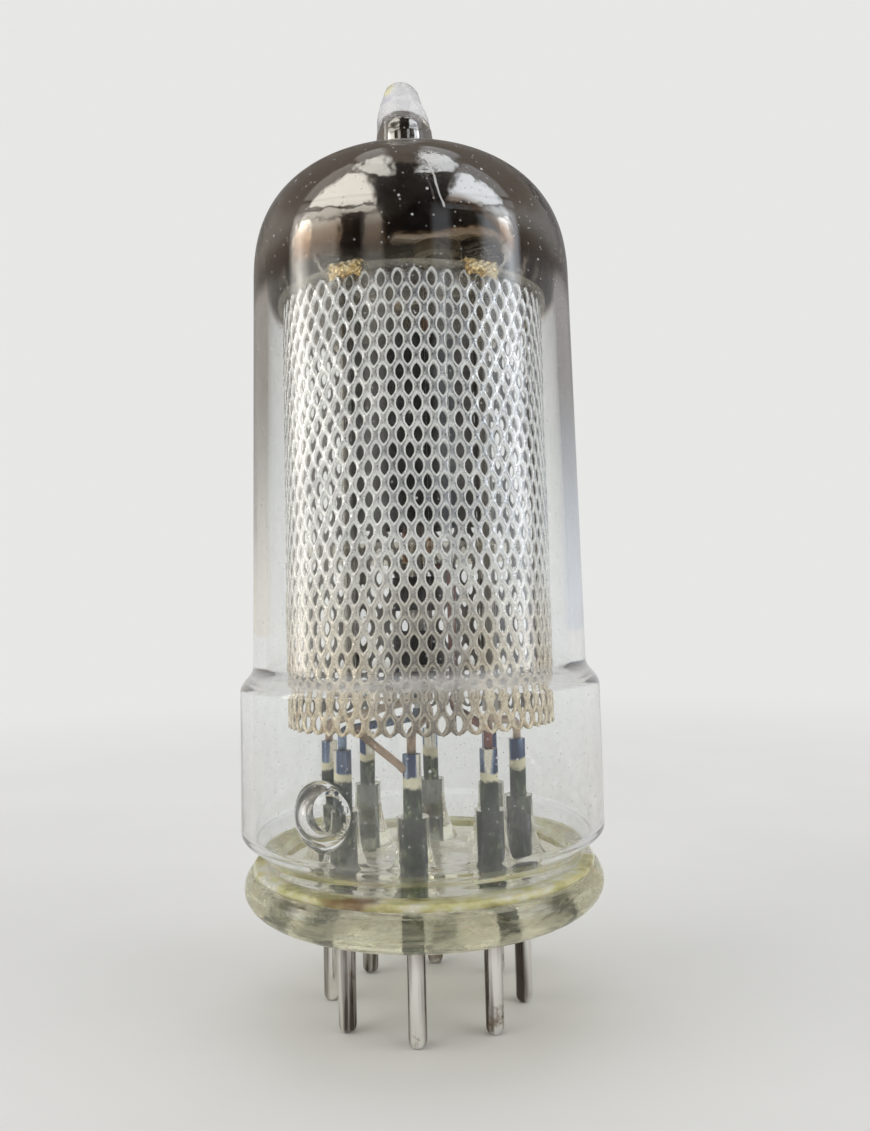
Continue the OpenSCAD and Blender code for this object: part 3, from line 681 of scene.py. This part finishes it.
def build_film():
    """The inward face of the metal flashed on the dome: one sheet just inside the glass."""
    columns = [3 * k for k in range(120)]
    inset = WALL + 0.03
    slope = (BARREL_R - BARREL_TOP_R) / (DOME_Z - BARREL_Z)
    wall = [(BARREL_R - slope * (z - BARREL_Z) - inset, z) for z in (FILM_Z, 41.7, 42.3, 42.6)]
    rows = wall + dome(inset, 30, 0.9)
    points = [(*polar(r, a), z) for r, z in rows for a in columns]
    film = add_mesh("getter_mirror", points, ring_faces(0, len(columns), len(rows)))
    film.data.materials.append(film_material())
    finish_piece(film, "getter_mirror", "getter_film")


def film_material():
    """The flashed metal, with a brown see-through haze at its lower edge."""
    t = material("getter_mirror")
    cover, metal = flashed_metal(t)
    amount = t.span(t.xyz()["Z"], 0.0412, 0.0430)
    haze = t.mix(amount, t.plain("Transparent", WHITE), t.plain("Transparent", rgb(0.50, 0.38, 0.27)))
    return t.finish(t.mix(cover, haze, metal))


def build_shield():
    """Expanded sheet wound into a cylinder, one column overlapping at its seam."""
    columns, rows, seam = 56, 29, 41.0
    overlap, tuck = 1.3, 0.17
    step = 360 / columns
    start, end = seam - step * overlap, seam + 360.0
    # how far the cut edge stands from the centre of an end row's gap: over it, beside it, between two
    edge_peak, edge_mid, edge_dip = 0.61, 0.55, 0.36
    half_pitch = (SHIELD_TOP - SHIELD_Z - 2 * edge_peak) / (rows - 1)
    gap_w, gap_h, barely = 0.46, 0.92, 1e-9
    half = math.degrees(gap_w / 2 / SHIELD_R)
    # stations round a cell from its right corner over its top, each with its place on the gap
    levels = (0.0, 0.40, 0.76, 1.0)
    climb = [(1 - k / 3, k / 3, 1 - y**2.3, y) for k, y in enumerate(levels)]
    over = climb[:3] + [(-dx, dy, -ax, ay) for dx, dy, ax, ay in climb[3:0:-1]]
    around = over + [(-dx, -dy, -ax, -ay) for dx, dy, ax, ay in over]
    corners = len(around)
    # loops of a gap's lip, each with its growth and its depth: on the face, just below it, at the back
    lip_loops = ((1.38, 0.0), (1.0, -0.06), (1.0, 0.03 - SHIELD_T))
    band_slots = (SHIELD_FLAT, SHIELD_EDGE, SHIELD_EDGE, SHIELD_BACK)
    points, faces, slots, shared = [], [], [], {}

    def spot(degrees, z, lift):
        """A new point, tucked inwards where the sheet runs under its own end."""
        degrees = max(start, min(end, degrees))
        outward = ease(part_way(degrees, seam - step * 0.2, step * 1.6))
        x, y = polar(SHIELD_R - tuck * (1 - outward) + lift, degrees)
        points.append((x, y, z))
        return len(points) - 1

    def corner(u, row, z, side):
        """A point that neighbouring cells share."""
        key = (round(u * 12), row, side)
        if key not in shared:
            shared[key] = spot(start + (u - 0.5) * step, z, -SHIELD_T if side else 0.0)
        return shared[key]

    def boundary(i, j, z0, side):
        """The cell's outline, with the sheet's cut edge in place of its outer half in the end rows."""
        centre = i + (j % 2) / 2
        way = -1 if j == 0 else 1
        ring = []
        for dx, dy, _, _ in around:
            if j in (0, rows - 1) and dy * way > barely:
                reach = 1.0 if abs(dx) > 0.5 else 1.5 * abs(dx)
                tall = edge_dip if reach == 1.0 else edge_mid if dx else edge_peak
                u = centre + math.copysign(reach / 2, dx)
                tall += 0.025 * math.sin(u * 4.6 + j)
                ring.append(corner(u, ("rim", j), z0 + way * tall, side))
            else:
                row = round((j + dy) * 3)
                ring.append(corner(centre + dx / 2, row, z0 + dy * half_pitch, side))
        return ring

    for j in range(rows):
        z0 = SHIELD_Z + edge_peak + j * half_pitch
        for i in range(-1, math.ceil((end - start) / step) + 2):
            centre = start + (i + (j % 2) / 2 - 0.5) * step
            if centre + step / 2 <= start or centre - step / 2 >= end:
                continue
            front, back = boundary(i, j, z0, 0), boundary(i, j, z0, 1)
            lips = [
                [
                    spot(centre + ax * half * grow, z0 + ay * gap_h / 2 * grow, lift - 0.03 * ay)
                    for _, _, ax, ay in around
                ]
                for grow, lift in lip_loops
            ]
            loops = [front, *lips, back]
            for slot, a, b in zip(band_slots, loops, loops[1:]):
                for k in range(corners):
                    n = (k + 1) % corners
                    faces.append((a[k], a[n], b[n], b[k]))
                    slots.append(slot)
            if j in (0, rows - 1):
                way = -1 if j == 0 else 1
                for k in range(corners):
                    n = (k + 1) % corners
                    if min(around[k][1] * way, around[n][1] * way) > barely:
                        faces.append((back[k], back[n], front[n], front[k]))
                        slots.append(SHIELD_FLAT)
    kept = [(f, s) for f, s in zip(faces, slots) if thick_enough(points, f)]
    shield = add_mesh("shield_mesh", points, [f for f, _ in kept], slots=[s for _, s in kept])
    # Each row's last value sets how dark the painted shade low at the front goes.
    for name, metallic, dark, light, darkening in (
        ("shield_flats", 0.92, rgb(0.48, 0.49, 0.52), rgb(0.90, 0.90, 0.90), 0.9),
        # The edges are a paler, less metallic copy of the same finish: a painted highlight on the lips and
        # walls of the gaps.
        ("shield_edges", 0.25, rgb(0.86, 0.86, 0.85), rgb(1.0, 1.0, 0.98), 0.6),
    ):
        shield.data.materials.append(shield_material(name, metallic, dark, light, darkening))
    shield.data.materials.append(shield_inside())
    finish_piece(shield, "shield_metal", "mesh_shield")


def thick_enough(points, face):
    """False for a face that the sheet's end has cut down to a line."""
    a, b, c, d = (Vector(points[k]) for k in face)
    return (c - a).cross(d - b).length > 1e-7


def shield_material(name, metallic, dark, light, darkening):
    """Matt silver with a fine sprayed grain and tan towards the foot, darkened low on the side towards the
    camera as painted shade.
    """
    t = material(name)
    place, z = t.place(), t.xyz()["Z"]
    patches = t.noise(340, detail=4, rough=0.6)
    grain = t.noise(5200, detail=2)
    foot = t.span(t.plus(z, t.times(patches, 0.006)), 0.0185, 0.0310, 1.0, 0.0)
    silver = t.ramp(patches, (0.36, dark), (0.64, light))
    tan = t.ramp(t.noise(2600, detail=3), (0.3, rgb(0.50, 0.37, 0.20)), (0.7, rgb(0.93, 0.82, 0.60)))
    # Low on the side towards the camera a column is darkened to dark brown: painted shade.
    middle = t.within(t.along(place, ACROSS), -0.0024, 0.0026, 0.0011)
    painted_front_shade = t.times(middle, t.span(t.along(place, TOWARDS), 0.0, 0.003))
    painted_front_shade = t.times(painted_front_shade, t.span(z, 0.0205, 0.0255, darkening, 0.0))
    tan = t.blend(painted_front_shade, tan, rgb(0.12, 0.085, 0.05))
    return t.finish_principled(
        colour=t.blend(t.times(foot, 0.9), silver, tan),
        metallic=metallic,
        rough=t.vary(grain, 0.18, 0.40),
        normal=t.bump(grain, 0.000022),
    )


def build_clips():
    """Four clips of thin crumpled foil, pinched over the rim of the top mica."""
    low, high = level("mica_clips", 0), level("mica_clips", 1)
    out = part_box("top_mica")[1].x / MM + 0.13
    half_width, inward_run, across, along = 0.95, 1.05, 10, 14
    points, faces = [], []
    for angle in CLIP_ANGLES:
        base = len(points)
        for v in range(along + 1):
            run = v / along * (high - low + inward_run)
            inward = max(0.0, run - (high - low))
            for u in range(across + 1):
                s = 2 * u / across - 1
                seed = angle * 0.7 + v * 1.3 + u * 2.1
                ragged = 1 + 0.07 * math.sin(angle + v * 1.9) * abs(s)
                crumple = 0.045 * (math.sin(seed) + math.sin(seed * 1.7 + v))
                x, y, z = s * half_width * ragged, inward - out, low + min(run, high - low)
                if inward > 0:
                    z += crumple - 0.05
                else:
                    y -= crumple
                if v == 0:
                    z += 0.10 * math.sin(u * 1.4 + angle)
                c, d = math.cos(math.radians(angle)), math.sin(math.radians(angle))
                points.append((x * c - y * d, x * d + y * c, z))
        for v in range(along):
            for u in range(across):
                a = base + v * (across + 1) + u
                faces.append((a, a + 1, a + across + 2, a + across + 1))
    foil = add_mesh("foil_clips", points, faces, smooth=False)
    solid = foil.modifiers.new("thickness", "SOLIDIFY")
    solid.thickness, solid.offset = 0.06 * MM, 0
    foil.data.materials.append(clip_material())
    finish_piece(foil, "clip_metal", "mica_clips")


def rise(end, z0, low, high, z1, start=0.0):
    """Stations (across, height) of a wire that rises, runs aslant from low to high and rises again."""
    bend, steps = 0.4, 7
    slope = math.atan2(end - start, high - low)
    cut = bend * math.tan(slope / 2)
    turns = [slope * k / steps for k in range(steps + 1)]
    foot = [(start + bend * (1 - math.cos(a)), low - cut + bend * math.sin(a)) for a in turns]
    head = [(end - bend * (1 - math.cos(a)), high + cut - bend * math.sin(a)) for a in reversed(turns)]
    return [(start, z0), *foot, *head, (end, z1)]


def tube(name, path, radius, flat=1.0):
    """A wire along points, round or flattened to a ribbon, with its ends rounded off."""
    sides, upright = 18, 0.9
    # rings that round off an end: share of the radius, and place along the wire in radii
    caps = ((0.55, 0.0), (0.85, 0.12))
    first_ring, last_cap = 0.3, -0.2
    spots = [Vector(p) for p in path]
    side = None
    loops = []
    for k, here in enumerate(spots):
        ahead = spots[min(k + 1, len(spots) - 1)] - spots[max(k - 1, 0)]
        ahead.normalize()
        if side is None:
            seed = Vector((0, 0, 1)) if abs(ahead.z) < upright else Vector((1, 0, 0))
            side = ahead.cross(seed).normalized()
        side = (side - ahead * side.dot(ahead)).normalized()
        across = ahead.cross(side)
        if k == 0:
            loops += [(here + ahead * radius * run, side, across, share) for share, run in caps]
            loops.append((here + ahead * radius * first_ring, side, across, 1.0))
        else:
            loops.append((here, side, across, 1.0))
    loops += [
        (here + ahead * radius * run * last_cap, side, across, share) for share, run in reversed(caps)
    ]
    points = []
    for here, a, b, share in loops:
        for s in range(sides):
            w = 2 * math.pi * s / sides
            points.append(tuple(here + (a * math.cos(w) * flat + b * math.sin(w)) * radius * share))
    faces = ring_faces(0, sides, len(loops))
    faces.append(tuple(range(sides))[::-1])
    faces.append(tuple((len(loops) - 1) * sides + s for s in range(sides)))
    return add_mesh(name, points, faces)


def between(start, end, stations):
    """Points of a wire in the upright plane through two places."""
    reach = math.dist(start, end)
    ux, uy = (end[0] - start[0]) / reach, (end[1] - start[1]) / reach
    return [(start[0] + ux * s, start[1] + uy * s, z) for s, z in stations]


# A strap from the weld of pin 1 to the shield's foot: across, towards the view, height, in millimetres
STRAP = (
    (-0.95, 6.05, 14.55),
    (-1.25, 6.1, 14.9),
    (-1.9, 6.35, 15.5),
    (-2.8, 6.8, 16.35),
    (-3.2, 7.0, 16.75),
    (-3.25, 7.02, 17.1),
)
STRAP_R, STRAP_FLAT = 0.21, 0.3

# The leads: pin, place over which they end, height at which they straighten up, finish
LEADS = {
    "heater_lead_1": (1, (0.3, 0), 16.75, "brown_wire"),
    "heater_lead_2": (8, (-0.3, 0), 16.75, "blue_wire"),
    "anode_lead": (3, polar(ROD_R, ROD_ANGLE), 16.55, "cream_wire"),
    "shield_lead": (4, polar(7.57, pin_angle(4)), 17.2, "brown_wire"),
    "diode_lead_1": (6, polar(2.48, pin_angle(6)), 17.45, "blue_wire"),
    "diode_lead_2": (5, polar(2.48, pin_angle(5)), 17.45, "brown_wire"),
    "cathode_lead": (7, polar(0.88, pin_angle(7)), 17.65, "cream_wire"),
}


def build_leads():
    """The wires that run from the pins to the electrodes, and the getter's wire."""
    wires = {
        "red_wire": wire_material("red_wire", rgb(0.10, 0.022, 0.018), rgb(0.30, 0.10, 0.07), 0.42),
        "cream_wire": wire_material("cream_wire", rgb(0.62, 0.44, 0.36), rgb(0.86, 0.74, 0.62), 0.42),
        "brown_wire": wire_material("brown_wire", rgb(0.20, 0.13, 0.09), rgb(0.50, 0.36, 0.25), 0.38),
        "blue_wire": wire_material("blue_wire", rgb(0.05, 0.09, 0.20), rgb(0.30, 0.40, 0.56), 0.32),
        "nickel": nickel_material("getter_wire"),
    }

    def finish_wire(piece, slot_name, *nodes):
        piece.data.materials.append(wires[slot_name])
        finish_piece(piece, slot_name, *nodes)

    low = PIN_TOP + 1.1
    for name, (k, to, high, finish) in LEADS.items():
        pin = polar(PIN_CIRCLE_R, pin_angle(k))
        stations = rise(math.dist(pin, to), PIN_TOP, low, high, level(name, 1))
        finish_wire(tube("fine_" + name, between(pin, to, stations), WIRE_R), finish, name)
    ribbon = [in_view(*place) for place in STRAP]
    finish_wire(tube("shield_strap", ribbon, STRAP_R, flat=STRAP_FLAT), "brown_wire")

    # the grid's lead stands beside the anode up to its top, and then bends in to the grid's rod
    beside, straight, run = 2.75, 17.45, level("grid_lead", 1) - 0.5
    first = rise(beside, PIN_TOP, low, straight, run)
    second = rise(PIN_CIRCLE_R - GRID_R, run, run, run, run + 0.5, start=beside)
    stations = first[:-1] + second[1:]
    path = between(polar(PIN_CIRCLE_R, pin_angle(2)), polar(GRID_R, GRID_ANGLE), stations)
    finish_wire(tube("fine_grid_lead", path, WIRE_R), "red_wire", "grid_lead")

    # the getter's wire goes on from the top of the anode's rod to the edge of the getter's ring
    ring_edge, rod_top, ring_z = 1.7 + 1.2, 42.3, 45.15
    stations = rise(ROD_R - ring_edge, rod_top, rod_top + 0.75, ring_z - 0.75, ring_z)
    path = between(polar(ROD_R, ROD_ANGLE), polar(ring_edge, ROD_ANGLE), stations)
    finish_wire(tube("fine_getter_wire", path, WIRE_R), "nickel", "getter_wire")


def wire_material(name, dark, light, rough):
    """Oxidised wire: two shades in bands and blotches."""
    t = material(name)
    bands = t.noise(420, detail=4, rough=0.65, stretch=(1, 1, 0.6))
    fine = t.noise(3000, detail=2)
    return t.finish_principled(
        colour=t.ramp(bands, (0.36, dark), (0.62, light)),
        metallic=0.75,
        rough=t.vary(fine, rough - 0.08, rough + 0.12),
        normal=t.bump(fine, 0.000008),
    )


def nickel_material(name):
    t = material(name)
    drawn = t.noise(900, detail=3, stretch=(6, 6, 0.3))
    stain = t.noise(260, detail=4)
    return t.finish_principled(
        colour=t.ramp(stain, (0.35, rgb(0.50, 0.47, 0.43)), (0.7, rgb(0.74, 0.72, 0.68))),
        metallic=1.0,
        rough=t.vary(drawn, 0.22, 0.40),
        normal=t.bump(drawn, 0.000005),
    )


def pin_material():
    """Chrome-iron drawn to size: dark and bright streaks below the glass, dark green mottled oxide where it
    is sealed with painted glints as its lightest specks, then a cream ring and heat-blued metal at the
    weld, whose streaks run up to cream, a painted highlight."""
    t = material("pin_metal")
    z = t.xyz()["Z"]
    blotch = t.noise(520, detail=5, rough=0.65)
    drawn = t.noise(1500, detail=3, stretch=(1, 1, 0.06))
    fine = t.noise(2400, detail=3, stretch=(1, 1, 0.35))
    stain = t.larger(t.span(blotch, 0.54, 0.66), t.times(t.span(z, 0.0036, 0.0058), 0.6))
    dark, middle, light = rgb(0.10, 0.085, 0.075), rgb(0.52, 0.50, 0.48), rgb(0.86, 0.85, 0.83)
    chrome = t.ramp(drawn, (0.40, dark), (0.50, middle), (0.60, light))
    bright = t.blend(t.times(stain, 0.7), chrome, rgb(0.16, 0.085, 0.04))
    # Mottled dark green oxide; its lightest specks are painted glints.
    green = t.ramp(
        t.noise(1700, detail=5, rough=0.7, stretch=(1, 1, 0.5)),
        (0.40, rgb(0.003, 0.007, 0.003)),
        (0.53, rgb(0.014, 0.034, 0.010)),
        (0.62, rgb(0.10, 0.135, 0.055)),
        (0.70, rgb(0.42, 0.44, 0.30)),
    )
    # Heat-blued streaks; the cream at the top of the ramp is a painted highlight.
    dark, middle, light = rgb(0.02, 0.04, 0.11), rgb(0.16, 0.23, 0.36), rgb(0.80, 0.76, 0.64)
    blued = t.ramp(drawn, (0.42, dark), (0.50, middle), (0.56, light))
    ragged = t.plus(z, t.times(t.minus(blotch, 0.5), 0.0014))
    top = PIN_TOP * MM
    ring = t.span(ragged, top - 0.0019, top - 0.0017)
    weld = t.span(ragged, top - 0.0014, top - 0.0012)
    sealed = t.span(z, 0.0059, 0.0060, smooth=False)
    stub = t.blend(weld, t.blend(ring, green, rgb(0.74, 0.70, 0.50)), blued)
    oxide = t.times(sealed, t.minus(1.0, weld))
    rough = t.plus(t.vary(fine, 0.05, 0.12), t.times(stain, 0.22))
    return t.finish_principled(
        colour=t.blend(sealed, bright, stub),
        metallic=t.minus(1.0, t.times(oxide, 0.9)),
        rough=t.plus(rough, t.times(oxide, 0.25), clamp=True),
        normal=t.bump(fine, 0.000004),
    )


def base_material():
    """Pressed glass: the disc creamy with fine streaks, greener at its rim, the collars clear. Against
    the pins it is fused, so no surface shows there."""
    t = material("base_glass")
    xyz = t.xyz()
    streaks = t.noise(320, detail=5, rough=0.6, stretch=(1, 1, 3.5), distortion=0.6)
    cloud = t.ramp(t.noise(150, detail=3), (0.3, rgb(0.90, 0.87, 0.68)), (0.7, rgb(0.97, 0.96, 0.90)))
    away = t.off_axis()
    rim = t.span(away, 0.0092, 0.0106)
    collar = t.span(xyz["Z"], (BASE_TOP - 0.1) * MM, (BASE_TOP + 0.3) * MM)
    clear = t.blend(rim, rgb(0.96, 0.955, 0.91), rgb(0.93, 0.93, 0.68))
    glass = t.principled(
        colour=t.blend(collar, clear, rgb(0.88, 0.88, 0.78)),
        rough=t.span(streaks, 0.35, 0.7, 0.01, 0.10),
        ior=1.5,
        transmission=1.0,
        normal=t.bump(streaks, 0.00006),
    )
    amount = t.plus(t.span(streaks, 0.44, 0.66, 0.08, 0.62), t.times(rim, 0.10))
    amount = t.times(amount, t.minus(1.0, collar), clamp=True)
    body = t.lamps_pass(t.mix(amount, glass, t.plain("Translucent", cloud)), rgb(0.93, 0.92, 0.85))
    # the distance from the nearest pin's axis
    around = t.math("ARCTAN2", xyz["X"], t.times(xyz["Y"], -1.0))
    local = t.minus(t.math("FLOORED_MODULO", around, math.pi / 4), math.pi / 8)
    aside = t.times(away, t.math("SINE", local))
    beyond = t.minus(t.times(away, t.math("COSINE", local)), PIN_CIRCLE_R * MM)
    fused = t.math("LESS_THAN", t.hypotenuse(aside, beyond), 0.00054)
    return t.finish(t.mix(fused, body, t.plain("Transparent", WHITE)))


def enamel_material():
    """The yellow-green ring of glass enamel, with a few scorched places."""
    t = material("enamel")
    cloud = t.noise(420, detail=5, rough=0.6, stretch=(1, 1, 2.0))
    scorch = t.times(t.span(t.noise(190, detail=3), 0.62, 0.70), 0.85)
    olive, yellow, cream = rgb(0.42, 0.39, 0.15), rgb(0.80, 0.77, 0.40), rgb(0.96, 0.95, 0.82)
    colour = t.ramp(cloud, (0.38, olive), (0.5, yellow), (0.62, cream))
    return t.finish_principled(
        colour=t.blend(scorch, colour, rgb(0.22, 0.10, 0.035)),
        rough=t.vary(cloud, 0.10, 0.28),
        transmission=0.35,
        ior=1.55,
        subsurface=0.2,
        subsurface_scale=0.0006,
        normal=t.bump(cloud, 0.00003),
    )


def mica_material():
    """Mica: thin, nearly clear, with cloudy flakes."""
    t = material("mica")
    flakes = t.noise(700, detail=4, stretch=(1, 1, 6))
    colour = t.ramp(flakes, (0.35, rgb(0.60, 0.57, 0.48)), (0.65, rgb(0.82, 0.80, 0.73)))
    sheet = t.principled(colour=colour, rough=t.vary(flakes, 0.12, 0.35), normal=t.bump(flakes, 0.00001))
    return t.finish(t.mix(t.vary(flakes, 0.62, 0.84), sheet, t.plain("Transparent", rgb(0.92, 0.90, 0.84))))


def anode_material():
    """Near black on the tube, greyer out on the wings."""
    t = material("anode_metal")
    darkening = t.noise(800, detail=5, rough=0.7)
    black = t.ramp(darkening, (0.3, rgb(0.012, 0.012, 0.014)), (0.75, rgb(0.060, 0.058, 0.060)))
    bare = t.ramp(darkening, (0.3, rgb(0.16, 0.155, 0.15)), (0.75, rgb(0.32, 0.31, 0.30)))
    return t.finish_principled(
        colour=t.blend(t.span(t.off_axis(), 0.0022, 0.0030), black, bare),
        metallic=0.5,
        rough=t.vary(darkening, 0.40, 0.60),
        normal=t.bump(darkening, 0.00001),
    )


def copper_material():
    t = material("copper")
    drawn = t.noise(800, detail=3, stretch=(5, 5, 0.3))
    colour = t.ramp(drawn, (0.3, rgb(0.56, 0.29, 0.17)), (0.7, rgb(0.80, 0.52, 0.36)))
    return t.finish_principled(colour=colour, metallic=1.0, rough=t.vary(drawn, 0.2, 0.36))


def coat_material():
    """The white insulation baked on the heater."""
    t = material("heater_coat")
    grain = t.noise(2200, detail=3)
    colour = t.ramp(grain, (0.3, rgb(0.80, 0.79, 0.76)), (0.7, rgb(0.92, 0.92, 0.90)))
    return t.finish_principled(colour=colour, rough=t.vary(grain, 0.7, 0.9), normal=t.bump(grain, 0.00001))


def clip_material():
    """Thin gold-coloured foil, crumpled where it was pinched over the mica."""
    t = material("clip_metal")
    fine = t.noise(1300, detail=4, rough=0.65)
    creases = t.noise(1500, detail=2, rough=0.5, distortion=1.2)
    brown, gold, cream = rgb(0.50, 0.32, 0.13), rgb(0.90, 0.72, 0.40), rgb(0.98, 0.93, 0.74)
    return t.finish_principled(
        colour=t.ramp(t.noise(700, detail=3), (0.36, brown), (0.5, gold), (0.62, cream)),
        metallic=0.7,
        rough=t.vary(fine, 0.18, 0.42),
        normal=t.bump(creases, 0.00022),
    )


def cream_metal():
    t = material("cream_metal")
    fine = t.noise(1500, detail=3)
    colour = t.ramp(fine, (0.3, rgb(0.62, 0.54, 0.38)), (0.7, rgb(0.86, 0.80, 0.64)))
    return t.finish_principled(colour=colour, metallic=0.3, rough=t.vary(fine, 0.25, 0.45))


def dress_nodes():
    """Gives every CAD node that is still shown its finish."""
    micas = ("top_mica", "middle_mica", "bottom_mica")
    nickel = ("grid_winding", "cathode_sleeve", "support_rod_1", "support_rod_2")
    for finish, nodes in (
        (pin_material(), [f"pin_{k}" for k in range(1, 9)]),
        (base_material(), ("glass_base",)),
        (enamel_material(), ("enamel_seal",)),
        (mica_material(), micas),
        (anode_material(), ("triode_anode", "diode_plate_1", "diode_plate_2")),
        (copper_material(), ("grid_rod_1", "grid_rod_2")),
        (nickel_material("nickel"), nickel),
        (coat_material(), ("heater",)),
        (cream_metal(), ("getter_ring",)),
    ):
        for node in nodes:
            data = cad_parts[node].data
            data.materials.clear()
            data.materials.append(finish)


place_camera()
build_world()
build_floor()
build_lamps()
build_bulb()
build_film()
build_shield()
build_leads()
build_clips()
dress_nodes()
bpy.context.scene.view_settings.view_transform = "Standard"
